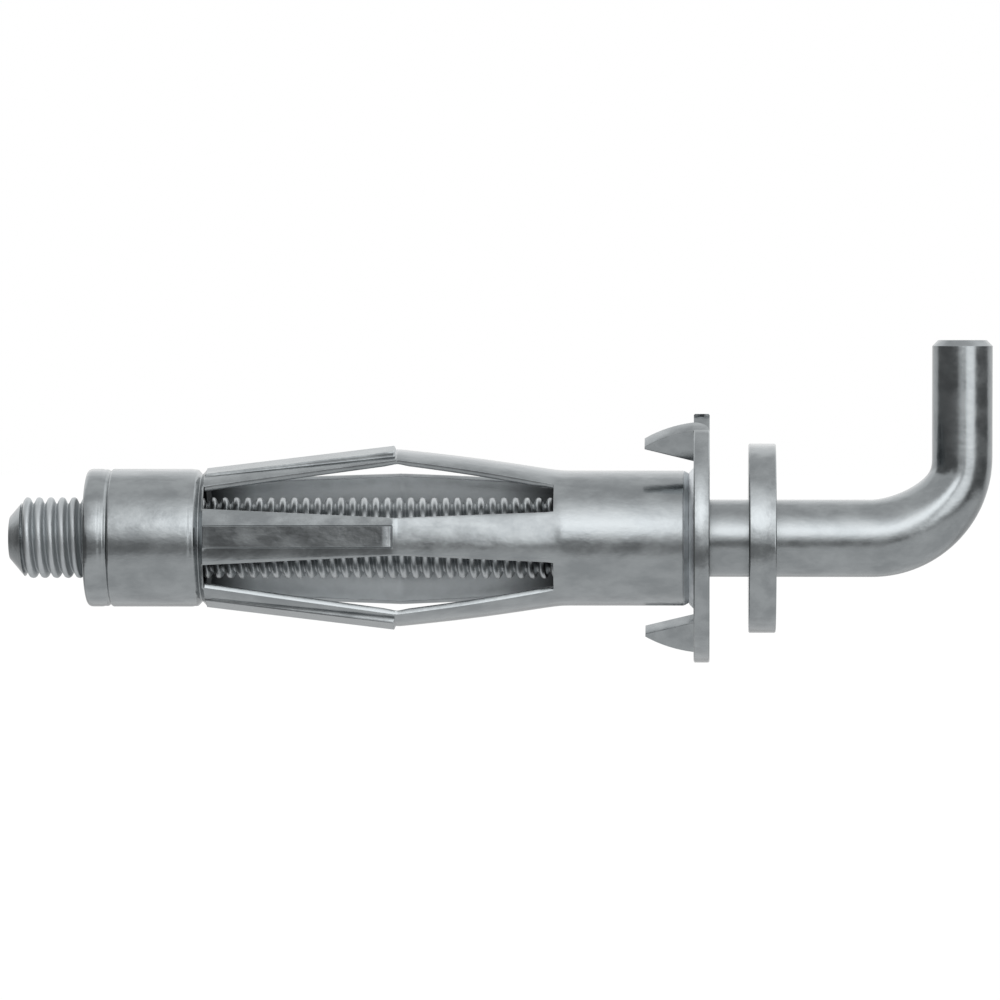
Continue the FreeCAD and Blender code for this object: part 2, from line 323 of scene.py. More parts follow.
PATCH_SIZE = 1.7 * MM
PATCH_DETAIL = 4
PATCH_CONTRAST = (0.36, 0.64)
PATCH_SHARE = 0.6
GRAIN_SIZE = 0.3 * MM
GRAIN_DETAIL = 3
GRAIN_SHARE = 0.4
CLOUD_CONTRAST = (0.2, 0.8)
WAVE_SIZE = 0.9 * MM
WAVE_DETAIL = 3
EDGE_SAMPLES = 6
EVEN = (1, 1, 1)
DRAWN_ALONG = (0.6, 1, 1)


def zinc_plating(name, dark, light, smooth, rough, waviness, stretch, edge_radius):
    """Bright zinc on steel: clouded colour and gloss, faint waves, softened edges."""
    finish = Finish(name)
    patches = finish.clouds(PATCH_SIZE, PATCH_DETAIL, stretch)
    patches = finish.stretched(patches, *PATCH_CONTRAST)
    grain = finish.clouds(GRAIN_SIZE, GRAIN_DETAIL, stretch)
    waves = finish.clouds(WAVE_SIZE, WAVE_DETAIL, stretch)
    mixed = patches * PATCH_SHARE + grain * GRAIN_SHARE
    mixed = finish.stretched(mixed, *CLOUD_CONTRAST)
    edges = finish.node(
        "ShaderNodeBevel", {"samples": EDGE_SAMPLES}, {"Radius": edge_radius})
    bump = finish.node("ShaderNodeBump", {}, {
        "Strength": 1.0, "Distance": waviness, "Height": waves,
        "Normal": edges.outputs[0]})
    finish.feed(finish.shader, {
        "Base Color": finish.blend(mixed, dark, light),
        "Metallic": 1.0,
        "Roughness": smooth + mixed * (rough - smooth),
        "Normal": bump.outputs[0]})
    return finish


def paint_light_and_shade(finish, share, tint, rougher):
    """The same finish, turned towards another colour and made rougher by a field, to paint
    light and shade into it.
    """
    colour = finish.shader.inputs["Base Color"].links[0].from_socket
    node = finish.node("ShaderNodeMix", {"data_type": "RGBA"}, {
        MIX_FACTOR: share, MIX_FIRST: colour, MIX_SECOND: (*tint, 1)})
    gloss = Field(finish, finish.shader.inputs["Roughness"].links[0].from_socket)
    finish.feed(finish.shader, {
        "Base Color": node.outputs[MIX_RESULT], "Roughness": gloss + share * rougher})


ZINC_DARK = (0.216, 0.231, 0.239)
ZINC_LIGHT = (0.28, 0.298, 0.306)
# Painted light: the thread's paler zinc.
ZINC_THREAD_PAINTED_LIGHT = (0.4, 0.424, 0.436)
# Painted light where the sleeve shelters the thread: paler than the shank, less than the
# thread outside.
ZINC_SHELTERED_PAINTED_LIGHT = (0.35, 0.372, 0.383)

# Along the screw, the matt thread and the part of it that the sleeve shelters each start and
# end softly, between two places. Both carry painted light: a paler zinc than the shank's,
# less pale where sheltered.

MATT_PAINTED_LIGHT_START = (-57.6 * MM, -57.1 * MM)
MATT_PAINTED_LIGHT_END = (-4 * MM, -3 * MM)
SHELTER_START = (-51 * MM, -50 * MM)
SHELTER_END = (-9 * MM, -8 * MM)

wire_zinc = zinc_plating(
    "wire_zinc", ZINC_DARK, ZINC_LIGHT, smooth=0.17, rough=0.27,
    waviness=0.018 * MM, stretch=DRAWN_ALONG, edge_radius=0.04 * MM)
# Painted light on the thread: a paler zinc, and rougher.
thread_painted_light = wire_zinc.stretched(wire_zinc.along("X"), *MATT_PAINTED_LIGHT_START)
thread_painted_light = thread_painted_light - wire_zinc.stretched(wire_zinc.along("X"), *MATT_PAINTED_LIGHT_END)
paint_light_and_shade(wire_zinc, thread_painted_light, ZINC_THREAD_PAINTED_LIGHT, rougher=0.3)
# Painted light on the sheltered thread: a paler zinc, and smoother.
sheltered_painted_light = wire_zinc.stretched(wire_zinc.along("X"), *SHELTER_START)
sheltered_painted_light = sheltered_painted_light * (1 - wire_zinc.stretched(wire_zinc.along("X"), *SHELTER_END))
paint_light_and_shade(wire_zinc, sheltered_painted_light, ZINC_SHELTERED_PAINTED_LIGHT, rougher=-0.15)

hook = combine(rolled_thread(), thread_limits(), "INTERSECT")
hook = combine(hook, bent_wire(), "UNION")
hook.name = "hook"
hook.data.name = "hook"
hook.data.shade_smooth()
hook.data.set_sharp_from_angle(angle=SHARP_ANGLE)
hook.data.materials.clear()
hook.data.materials.append(wire_zinc.material)
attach(hook, "hook")
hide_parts("hook_screw")


# Stop disc: a thick turned ring, pressed on to the shank. Its rims are slightly
# rounded by tumbling before it is plated.

DISC_RIM = 0.17 * MM
DISC_SIDES = 160
ROUNDING_STEPS = 5

disc_low, disc_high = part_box("stop_disc")


def softened(points, sizes, steps):
    """A run of (x, radius) points with each inner corner rounded by its size."""
    run = [Vector(points[0])]
    for before, corner, after, size in zip(points, points[1:], points[2:], sizes):
        before, corner, after = Vector(before), Vector(corner), Vector(after)
        first = corner + (before - corner).normalized() * size
        last = corner + (after - corner).normalized() * size
        for step in range(steps + 1):
            share = step / steps
            run.append(first.lerp(corner, share).lerp(corner.lerp(last, share), share))
    return run + [Vector(points[-1])]


disc_mesh = bmesh.new()
disc_radius = disc_high.z
turn(disc_mesh, softened([
    (disc_low.x, SHANK_RADIUS),
    (disc_low.x, disc_radius),
    (disc_high.x, disc_radius),
    (disc_high.x, SHANK_RADIUS),
], [DISC_RIM, DISC_RIM], ROUNDING_STEPS), DISC_SIDES)
disc = new_piece("disc", disc_mesh)
disc_zinc = zinc_plating(
    "disc_zinc", ZINC_DARK, ZINC_LIGHT, smooth=0.15, rough=0.25,
    waviness=0.02 * MM, stretch=EVEN, edge_radius=0.03 * MM)
disc.data.materials.append(disc_zinc.material)
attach(disc, "stop")
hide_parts("stop_disc")


# Sleeve: one strip of thin steel. Five windows are punched out of it and a panel
# is raised on each leg between them, and then it is rolled to a tube with a butt
# seam, crimped on to the nut, necked in, flared over the plate and folded out.

SHEET = 0.45 * MM
TAIL_RADIUS = 5.92 * MM
LIP_RADIUS = 4.6 * MM
TAIL_ROUNDING = 0.5 * MM
CRIMP_FROM_END = 2.0 * MM
CRIMP_DEPTH = 0.2 * MM
CRIMP_HALF_WIDTH = 0.22 * MM
CRIMP_STEP = 0.72 * MM
KINK_LENGTH = 0.22 * MM
KINK_DEPTH = 0.045 * MM
KINK_ROUNDING = 0.08 * MM
SHOULDER_ROUNDING = 0.1 * MM
TAIL_LENGTH = 10.3 * MM
NECK_IN_LENGTH = 0.4 * MM
NECK_IN_DEPTH = 0.47 * MM
NECK_IN_SHOULDER = 0.9 * MM
TUBE_RADIUS = 5.8 * MM
TUBE_LENGTH = 11.94 * MM
TUBE_END_LENGTH = 0.45 * MM
TUBE_END_DROP = 0.25 * MM
TUBE_START_ROUNDING = 0.5 * MM
TUBE_END_ROUNDING = 0.15 * MM
TUBE_INNER_ROUNDING = 0.1 * MM
NECK_ROUNDING = 0.05 * MM
FLARE_ROUNDING = 0.15 * MM
TUBE_ROUNDING_STEPS = 4
HUB_HEIGHT = 0.4 * MM
NECK_RADIUS = 5.4 * MM
FLARE = 0.4 * MM
PLATE_THICKNESS = 1.36 * MM

LEGS = 5
LEG_ANGLE = math.radians(3)
SEAM = LEG_ANGLE + math.pi
SEAM_GAP = 0.1 * MM
WAIST = -25.3 * MM
WAIST_RADIUS = 7.7 * MM
WAIST_ROUNDING = 0.3 * MM
ROOT_DROP = 0.1 * MM
ROOT_ROUNDING = 1.0 * MM
STRIP_BOW = 0.12 * MM
TAIL_HALF_WIDTH = 2.425 * MM
WAIST_HALF_WIDTH = 1.59 * MM
TUBE_HALF_WIDTH = 2.17 * MM
SCORE_RADIUS = 2.2 * MM
SCORE_DEPTH = 0.08 * MM
PANEL_HALF_WIDTH = 0.925 * MM
PANEL_EDGE = 0.06 * MM
PANEL_ROOT_RISE = 0.16 * MM
PANEL_START = 0.06 * MM
PANEL_WAIST_RISE = 0.3 * MM
PANEL_END = WAIST - 0.15 * MM
PANEL_END_LENGTH = 0.22 * MM
RIM_BEVEL = 0.035 * MM
RIM_BEVEL_STEPS = 2
WINDOW_STEPS = 4
REAR_STEPS = 22
FRONT_STEPS = 18
PANEL_SHARES = (0, 0.35, 0.7)
PANEL_EDGE_SHARES = (-1, -0.5, 0, 0.5, 1)
PANEL_END_SHARES = (0, 0.12, 0.25, 0.5, 0.75, 0.88, 1)
WAIST_SHARES = (-0.5, 0, 0.5, 1)
FLANK_SHARES = (0.25, 0.5, 0.75, 1)

tail_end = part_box("sleeve")[0].x
tail_root = tail_end + TAIL_LENGTH
tube_root = -TUBE_LENGTH
leg_start = tail_root - SHEET
leg_end = tube_root + SHEET
rear_slope = (WAIST_RADIUS - TAIL_RADIUS + ROOT_DROP) / (WAIST - leg_start)
front_slope = (TUBE_RADIUS - WAIST_RADIUS) / (leg_end - WAIST)


def kink(x, place, change, rounding):
    """What a rounded bend at one place adds to a line whose slope changes there."""
    past = x - place
    if past < -rounding:
        return 0
    if past > rounding:
        return change * past
    return change * (past + rounding) ** 2 / (4 * rounding)


def crown(x):
    """Height of a leg's middle line: up to the waist, and down into the tube."""
    height = TAIL_RADIUS - ROOT_DROP + rear_slope * (x - leg_start)
    height += kink(x, WAIST, front_slope - rear_slope, WAIST_ROUNDING)
    height += kink(x, leg_end, -front_slope, ROOT_ROUNDING)
    along = (x - WAIST) / (leg_end - WAIST)
    if 0 < along < 1:
        height += STRIP_BOW * math.sin(math.pi * along)
    return height


def half_width(x):
    """Half the leg's width: it narrows to the waist and widens again."""
    rear = min(1, max(0, (WAIST - x) / (WAIST - leg_start)))
    front = min(1, max(0, (x - WAIST) / (leg_end - WAIST)))
    wider = (TAIL_HALF_WIDTH - WAIST_HALF_WIDTH) * rear
    return WAIST_HALF_WIDTH + wider + (TUBE_HALF_WIDTH - WAIST_HALF_WIDTH) * front


def cross_places(half):
    """Places across a leg, close together at the two edges of its raised panel."""
    inner_edge = PANEL_HALF_WIDTH - PANEL_EDGE
    outer_edge = PANEL_HALF_WIDTH + PANEL_EDGE
    places = [inner_edge * share for share in PANEL_SHARES]
    places += [PANEL_HALF_WIDTH + PANEL_EDGE * share for share in PANEL_EDGE_SHARES]
    places += [outer_edge + (half - outer_edge) * share for share in FLANK_SHARES]
    return [-place for place in places[:0:-1]] + places


def ring_angles(half, radius):
    """The angle of every column round a ring, from one side of the seam to the other."""
    across = [math.asin(place / radius) for place in cross_places(half)]
    reach = (math.pi / LEGS + across[0]) / WINDOW_STEPS
    angles = []
    for index in range(LEGS):
        low = SEAM + math.tau / LEGS * index
        high = low + math.tau / LEGS
        angles += [low + reach * step for step in range(WINDOW_STEPS)]
        angles += [(low + high) / 2 + angle for angle in across]
        angles += [high - reach * step for step in range(WINDOW_STEPS - 1, 0, -1)]
    half_gap = SEAM_GAP / 2 / radius
    angles[0] += half_gap
    return angles + [SEAM + math.tau - half_gap]


def tail_rows():
    """Outer and inner (x, radius) points of the tail, from its lip to the leg roots."""
    crimp = tail_end + CRIMP_FROM_END
    neck_in = tail_root - NECK_IN_LENGTH
    shoulder = neck_in - NECK_IN_SHOULDER
    root = crown(tail_root)
    rolled = [
        (crimp - CRIMP_STEP, 0),
        (crimp - CRIMP_STEP + KINK_LENGTH, KINK_DEPTH),
        (crimp - CRIMP_HALF_WIDTH, KINK_DEPTH),
        (crimp, CRIMP_DEPTH),
        (crimp + CRIMP_HALF_WIDTH, 0),
        (shoulder, 0),
        (shoulder + KINK_LENGTH, KINK_DEPTH),
        (neck_in - NECK_IN_LENGTH, KINK_DEPTH),
        (neck_in, NECK_IN_DEPTH),
    ]
    outer = [(tail_end, LIP_RADIUS), (tail_end, TAIL_RADIUS)]
    outer += [(x, TAIL_RADIUS - depth) for x, depth in rolled] + [(tail_root, root)]
    inner = [(tail_end + SHEET, LIP_RADIUS), (tail_end + SHEET, TAIL_RADIUS - SHEET)]
    inner += [(x, TAIL_RADIUS - SHEET - depth) for x, depth in rolled]
    inner += [(tail_root, root - SHEET)]
    shoulder_bends = [SHOULDER_ROUNDING, KINK_ROUNDING] * 2
    bends = [KINK_ROUNDING] * (len(rolled) - len(shoulder_bends)) + shoulder_bends
    outer = softened(outer, [TAIL_ROUNDING] + bends, ROUNDING_STEPS)
    inner = softened(inner, [TAIL_ROUNDING / 2] + bends, ROUNDING_STEPS)
    return list(zip(outer, inner))


def tube_rows():
    """Outer and inner (x, radius) points of the front tube, its neck and its flare."""
    outer_rounding = [
        TUBE_START_ROUNDING, TUBE_END_ROUNDING, NECK_ROUNDING, NECK_ROUNDING,
        FLARE_ROUNDING]
    inner_rounding = [
        TUBE_START_ROUNDING, TUBE_INNER_ROUNDING, NECK_ROUNDING, TUBE_INNER_ROUNDING,
        FLARE_ROUNDING]
    outer = softened([
        (tube_root, TUBE_RADIUS),
        (tube_root + ROOT_ROUNDING, TUBE_RADIUS),
        (-HUB_HEIGHT - TUBE_END_LENGTH, TUBE_RADIUS),
        (-HUB_HEIGHT, TUBE_RADIUS - TUBE_END_DROP),
        (-HUB_HEIGHT, NECK_RADIUS),
        (PLATE_THICKNESS - FLARE, NECK_RADIUS),
        (PLATE_THICKNESS, NECK_RADIUS + FLARE),
    ], outer_rounding, TUBE_ROUNDING_STEPS)
    inner = softened([
        (tube_root, TUBE_RADIUS - SHEET),
        (tube_root + ROOT_ROUNDING, TUBE_RADIUS - SHEET),
        (-HUB_HEIGHT - SHEET, TUBE_RADIUS - SHEET),
        (-HUB_HEIGHT - SHEET, (TUBE_RADIUS + NECK_RADIUS) / 2 - SHEET),
        (-HUB_HEIGHT - SHEET, NECK_RADIUS - SHEET),
        (PLATE_THICKNESS - FLARE, NECK_RADIUS - SHEET),
        (PLATE_THICKNESS, NECK_RADIUS + FLARE - SHEET),
    ], inner_rounding, TUBE_ROUNDING_STEPS)
    return list(zip(outer, inner))


def leg_rows():
    """Places along a leg, close together at the panel's end and at the waist."""
    panel_stop = PANEL_END - PANEL_END_LENGTH
    panel_end = [panel_stop + PANEL_END_LENGTH * share for share in PANEL_END_SHARES]
    bend = [WAIST + WAIST_ROUNDING * share for share in WAIST_SHARES]
    rows = [tail_root + PANEL_START]
    rows += [tail_root + (panel_stop - tail_root) * step / REAR_STEPS
             for step in range(1, REAR_STEPS)]
    rows += panel_end + bend
    rows += [bend[-1] + (tube_root - bend[-1]) * step / FRONT_STEPS
             for step in range(1, FRONT_STEPS)]
    return rows


def panel_rise(x, across, sheet_height):
    """How far the raised panel stands above the sheet at one point of a leg."""
    slope = (WAIST_RADIUS + PANEL_WAIST_RISE - TAIL_RADIUS + ROOT_DROP - PANEL_ROOT_RISE)
    slope /= PANEL_END - PANEL_END_LENGTH - tail_root
    top = TAIL_RADIUS - ROOT_DROP + PANEL_ROOT_RISE + slope * (x - tail_root)
    sideways = (PANEL_HALF_WIDTH + PANEL_EDGE - abs(across)) / (2 * PANEL_EDGE)
    endways = (PANEL_END - x) / PANEL_END_LENGTH
    share = 1
    for amount in (sideways, endways):
        amount = min(1, max(0, amount))
        share *= amount * amount * (3 - 2 * amount)
    return max(0, top - sheet_height) * share


def leg_point(x, across, angle, inside):
    """A point of a leg's outer or inner face, across being from its middle line."""
    radius = TUBE_RADIUS - SHEET if inside else TUBE_RADIUS
    height = crown(x) - TUBE_RADIUS + math.sqrt(radius ** 2 - across ** 2)
    if inside:
        height += max(0, SCORE_DEPTH - (x - WAIST) ** 2 / (2 * SCORE_RADIUS))
    elif x < PANEL_END:
        height += panel_rise(x, across, height)
    return Vector((
        x,
        across * math.sin(angle) - height * math.cos(angle),
        across * math.cos(angle) + height * math.sin(angle)))


def rolled_sheet():
    """The sheet as a grid of rows and columns, punched, thickened and then shaped."""
    tail, legs, tube = tail_rows(), leg_rows(), tube_rows()
    rows = len(tail) + len(legs) + len(tube)
    tail_angles = ring_angles(TAIL_HALF_WIDTH, crown(tail_root))
    tube_angles = ring_angles(TUBE_HALF_WIDTH, TUBE_RADIUS)
    columns = len(tail_angles)
    leg_columns = len(cross_places(TAIL_HALF_WIDTH))
    sector = (columns - 1) // LEGS

    mesh = bmesh.new()
    bmesh.ops.create_grid(mesh, x_segments=rows - 1, y_segments=columns - 1, size=1)
    row_of = mesh.verts.layers.int.new("row")
    column_of = mesh.verts.layers.int.new("column")
    for vert in mesh.verts:
        vert[row_of] = round((vert.co.x + 1) / 2 * (rows - 1))
        vert[column_of] = round((vert.co.y + 1) / 2 * (columns - 1))

    windows = []
    for face in mesh.faces:
        row = min(vert[row_of] for vert in face.verts)
        column = min(vert[column_of] for vert in face.verts) % sector
        on_leg = WINDOW_STEPS <= column < WINDOW_STEPS + leg_columns - 1
        if len(tail) - 1 <= row < len(tail) + len(legs) and not on_leg:
            windows.append(face)
    bmesh.ops.delete(mesh, geom=windows, context="FACES")
    made = bmesh.ops.extrude_face_region(mesh, geom=mesh.faces[:], use_keep_orig=True)
    inner = {item for item in made["geom"] if isinstance(item, bmesh.types.BMVert)}

    for vert in mesh.verts:
        row, column = vert[row_of], vert[column_of]
        inside = vert in inner
        leg, place = divmod(column, sector)
        middle = SEAM + math.tau / LEGS * (leg + 0.5)
        on_leg = 0 <= place - WINDOW_STEPS < leg_columns
        if row < len(tail):
            x, radius = tail[row][inside]
            angle = tail_angles[column]
        elif row < len(tail) + len(legs):
            x = legs[row - len(tail)]
            across = cross_places(half_width(x))[place - WINDOW_STEPS]
            vert.co = leg_point(x, across, middle, inside)
            continue
        else:
            x, radius = tube[row - len(tail) - len(legs)][inside]
            angle = tube_angles[column]
            if on_leg:
                radius += max(0, crown(x) - TUBE_RADIUS) if x < leg_end + ROOT_ROUNDING else 0
        vert.co = (x, -radius * math.cos(angle), radius * math.sin(angle))
    walls = [face for face in mesh.faces
             if 0 < len(inner.intersection(face.verts)) < len(face.verts)]
    rims = {edge for face in walls for edge in face.edges
            if len(inner.intersection(edge.verts)) != 1}
    mesh.normal_update()
    bmesh.ops.recalc_face_normals(mesh, faces=mesh.faces)
    bmesh.ops.bevel(
        mesh, geom=list(rims), offset=RIM_BEVEL, segments=RIM_BEVEL_STEPS, profile=0.5,
        affect="EDGES", material=-1, clamp_overlap=True)
    mesh.normal_update()
    return mesh


# The outside is bright. The inside and the window ends are rougher, a paler zinc as painted
# light, with painted shade towards the tube and the tail; the chamfer at the tube's end is a
# paler zinc as painted light. These are the slots of the three finishes.

OUTSIDE, INSIDE, TUBE_END = range(3)
INWARD_NORMAL = -0.5
WINDOW_END_NORMAL = 0.8
TUBE_END_NORMAL = 0.2

sleeve_mesh = rolled_sheet()
for face in sleeve_mesh.faces:
    middle = face.calc_center_median()
    outward = Vector((0, middle.y, middle.z)).normalized()
    inward = face.normal.dot(outward) < INWARD_NORMAL
    in_windows = tail_root < middle.x + SHEET < leg_end
    window_end = in_windows and abs(face.normal.x) > WINDOW_END_NORMAL
    face.material_index = INSIDE if inward or window_end else OUTSIDE
    # Painted light: the chamfer at the tube's end takes the paler zinc.
    at_tube_end = middle.x > -HUB_HEIGHT - TUBE_END_LENGTH
    if at_tube_end and face.normal.x > TUBE_END_NORMAL:
        face.material_index = TUBE_END
sleeve = new_piece("folding_sleeve", sleeve_mesh)

# Painted shade inside the sleeve, darkest towards the tube and towards the tail.
SHADE = (0.03, 0.033, 0.035)
SHADE_SHARE = 0.85
SHADE_TO_TUBE = (-17 * MM, -12 * MM)
SHADE_TO_TAIL = (-41.5 * MM, -38 * MM)
# Painted light: the inside is a paler zinc than the outside.
PAINTED_LIGHT_INNER_DARK = (0.35, 0.371, 0.383)
PAINTED_LIGHT_INNER_LIGHT = (0.43, 0.456, 0.471)
# Painted light: a paler zinc for the chamfer at the tube's end and the plate's hub.
PAINTED_LIGHT_END_DARK = (0.44, 0.466, 0.481)
PAINTED_LIGHT_END_LIGHT = (0.6, 0.63, 0.65)

sheet_zinc = zinc_plating(
    "sheet_zinc", ZINC_DARK, ZINC_LIGHT, smooth=0.17, rough=0.27,
    waviness=0.024 * MM, stretch=DRAWN_ALONG, edge_radius=0.03 * MM)
inner_painted_light_shade_zinc = zinc_plating(
    "inner_painted_light_shade_zinc", PAINTED_LIGHT_INNER_DARK, PAINTED_LIGHT_INNER_LIGHT, smooth=0.35, rough=0.45,
    waviness=0.012 * MM, stretch=EVEN, edge_radius=0.03 * MM)
# Painted shade: the inside is darkened towards the tube and towards the tail.
depth = inner_painted_light_shade_zinc.stretched(inner_painted_light_shade_zinc.along("X"), *SHADE_TO_TUBE)
depth = depth + 1 - inner_painted_light_shade_zinc.stretched(inner_painted_light_shade_zinc.along("X"), *SHADE_TO_TAIL)
paint_light_and_shade(inner_painted_light_shade_zinc, depth * SHADE_SHARE, SHADE, rougher=0.1)
end_painted_light_zinc = zinc_plating(
    "end_painted_light_zinc", PAINTED_LIGHT_END_DARK, PAINTED_LIGHT_END_LIGHT, smooth=0.35, rough=0.45,
    waviness=0.01 * MM, stretch=EVEN, edge_radius=0.03 * MM)
for finish in (sheet_zinc, inner_painted_light_shade_zinc, end_painted_light_zinc):
    sleeve.data.materials.append(finish.material)
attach(sleeve, "anchor")
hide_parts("sleeve")


# Collar plate: stamped from thicker steel, with a low hub drawn round its hole.
# Its two claws are folded back from the rim, and its edges are slightly rounded.

PLATE_WELD = 0.002 * MM
PLATE_FLAT_ANGLE = math.radians(0.3)
PLATE_BEVEL = 0.13 * MM
PLATE_BEVEL_STEPS = 3
PLATE_EDGE_ANGLE = math.radians(35)
PLATE_HUB_RADIUS = 7.2 * MM
HUB_NORMAL = -0.3

plate_mesh = bmesh.new()
plate_mesh.from_mesh(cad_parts["collar_plate"].data)
bmesh.ops.remove_doubles(plate_mesh, verts=plate_mesh.verts, dist=PLATE_WELD)
bmesh.ops.dissolve_limit(
    plate_mesh, angle_limit=PLATE_FLAT_ANGLE, verts=plate_mesh.verts,
    edges=plate_mesh.edges)
plate_mesh.normal_update()
corners = [edge for edge in plate_mesh.edges
           if edge.is_manifold and edge.calc_face_angle() > PLATE_EDGE_ANGLE]
bmesh.ops.bevel(
    plate_mesh, geom=corners, offset=PLATE_BEVEL, segments=PLATE_BEVEL_STEPS,
    profile=0.5, affect="EDGES", material=-1, clamp_overlap=True)
plate = new_piece("clawed_plate", plate_mesh)
plate_zinc = zinc_plating(
    "plate_zinc", ZINC_DARK, ZINC_LIGHT, smooth=0.15, rough=0.25,
    waviness=0.02 * MM, stretch=EVEN, edge_radius=0.03 * MM)
# Painted light: the hub's back faces take the paler zinc of the tube's end.
for face in plate.data.polygons:
    outward = Vector((0, face.center.y, face.center.z)).normalized()
    on_hub = face.center.dot(outward) < PLATE_HUB_RADIUS
    face.material_index = 1 if on_hub and face.normal.x < HUB_NORMAL else 0
plate.data.materials.append(plate_zinc.material)
plate.data.materials.append(end_painted_light_zinc.material)
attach(plate, "anchor")
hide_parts("collar_plate")


# Nut: a turned round nut that stays hidden inside the crimped tail.

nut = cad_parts["nut"]
nut_zinc = zinc_plating(
    "nut_zinc", ZINC_DARK, ZINC_LIGHT, smooth=0.3, rough=0.4,
    waviness=0.01 * MM, stretch=EVEN, edge_radius=0.05 * MM)
nut.data.materials.clear()
nut.data.materials.append(nut_zinc.material)


# Studio: a white room and floor, with one large soft light in front and above to
# the right, and dark cards low and to the sides, which show the shape of the metal.

WHITE = (1, 1, 1, 1)

white = bpy.data.worlds.new("white")
bpy.context.scene.world = white
white.use_nodes = True
sky = white.node_tree.nodes["Background"]
sky.inputs["Color"].default_value = WHITE
sky.inputs["Strength"].default_value = 1.0


def shine(piece, finish, light):
    """Makes a stage piece glow with one light value or field."""
    glow = finish.node("ShaderNodeEmission", {}, {"Color": WHITE, "Strength": light})
    finish.tree.nodes.remove(finish.shader)
    output = finish.tree.nodes["Material Output"]
    finish.tree.links.new(glow.outputs[0], output.inputs["Surface"])
    piece.data.materials.append(finish.material)
    return glow


# The shell stands round the object and the camera, and only shiny things see it.
# The soft box and the cards are places on it, each with two soft edges, and their
# places and edges are given as shares of the shell's radius.

SHELL_RADIUS = 0.95
SHELL_BOTTOM = -34
SHELL_TOP = 78
SHELL_STEP = 4
SHELL_SIDES = 90

LEFT_HALF_EDGE = (-0.07, -0.01)
RIGHT_EDGE = (0.05, 0.13)
LOW_RIGHT_EDGE = (0.12, 0.27)
FAR_RIGHT_EDGE = (0.66, 0.8)
LEFT_EDGE = (-0.34, -0.22)
FAR_LEFT_EDGE = (-0.85, -0.6)
BACK_EDGE = (0.28, 0.42)

BOX_SIDE_EDGE = (-0.24, -0.08)
BOX_BOTTOM_EDGE = (-0.02, 0.26)
BOX_TOP_EDGE = (0.5, 0.98)
BOX_LOWER_AT_LOW_RIGHT = 0.5
BOX_HIGHER_AT_RIGHT = 0.24
BOX_HIGHER_AT_LEFT = 0.08
BOX_LIGHT = 2.6
BOX_LOSS_AT_RIGHT = 1.75
BOX_GAIN_AT_LOW_RIGHT = 0.8

CARD_TOP_EDGE = (-0.12, -0.04)
CARD_BOTTOM_EDGE = (-0.46, -0.38)
CARD_HIGHER_ASIDE = 0.2
CARD_HIGHER_AT_FAR_LEFT = 0.3
CARD_HIGHER_AT_LEFT_HALF = 0.04
CARD_DEEPER_AT_LEFT = 0.2
CARD_SHORTER_AT_RIGHT = 0.14
CARD_DARKNESS = 0.56
CARD_DARKER_ASIDE = 0.24
CARD_HIDDEN_BY_BOX = 0.4

RIM_LIGHT_BOTTOM_EDGE = (0.15, 0.3)
RIM_LIGHT_TOP_EDGE = (0.75, 0.9)
RIM_LIGHT = 0.45
LOW_BACK_EDGE = (-0.3, -0.1)
LOW_BACK_DARKNESS = 0.3

shell_mesh = bmesh.new()
arc = []
for degrees in range(SHELL_BOTTOM, SHELL_TOP + 1, SHELL_STEP):
    height = math.radians(degrees)
    arc.append((SHELL_RADIUS * math.cos(height), SHELL_RADIUS * math.sin(height)))
bmesh.ops.spin(
    shell_mesh, geom=add_run(shell_mesh, arc), cent=ORIGIN, axis=(0, 0, 1),
    angle=math.tau, steps=SHELL_SIDES, use_merge=True)
shell = new_piece("light_shell", shell_mesh)

light = Finish("light_shell")
rise = light.along("Z") * (1 / SHELL_RADIUS)
side = light.along("X") * (1 / SHELL_RADIUS)
behind = light.stretched(light.along("Y") * (1 / SHELL_RADIUS), *BACK_EDGE)
left_half = 1 - light.stretched(side, *LEFT_HALF_EDGE)
right = light.stretched(side, *RIGHT_EDGE)
low_right = light.stretched(side, *LOW_RIGHT_EDGE)
far_right = light.stretched(side, *FAR_RIGHT_EDGE)
left = 1 - light.stretched(side, *LEFT_EDGE)
far_left = 1 - light.stretched(side, *FAR_LEFT_EDGE)
aside = left + far_right

soft_box = light.stretched(side, *BOX_SIDE_EDGE) * (1 - far_right) * (1 - behind)
box_place = rise + low_right * BOX_LOWER_AT_LOW_RIGHT - right * BOX_HIGHER_AT_RIGHT
box_place = box_place - left_half * BOX_HIGHER_AT_LEFT
soft_box = soft_box * light.stretched(box_place, *BOX_BOTTOM_EDGE)
soft_box = soft_box * (1 - light.stretched(rise, *BOX_TOP_EDGE))
box_light = BOX_LIGHT - right * BOX_LOSS_AT_RIGHT + low_right * BOX_GAIN_AT_LOW_RIGHT
soft_box = soft_box * box_light

card_top = aside * CARD_HIGHER_ASIDE + far_left * CARD_HIGHER_AT_FAR_LEFT
card_top = card_top + left_half * CARD_HIGHER_AT_LEFT_HALF
card_bottom = rise + left * CARD_DEEPER_AT_LEFT - right * CARD_SHORTER_AT_RIGHT
dark_card = 1 - light.stretched(rise - card_top, *CARD_TOP_EDGE)
dark_card = dark_card * light.stretched(card_bottom, *CARD_BOTTOM_EDGE) * (1 - behind)
dark_card = dark_card * (CARD_DARKNESS + (left + right) * CARD_DARKER_ASIDE)
dark_card = dark_card * (1 - soft_box * CARD_HIDDEN_BY_BOX)

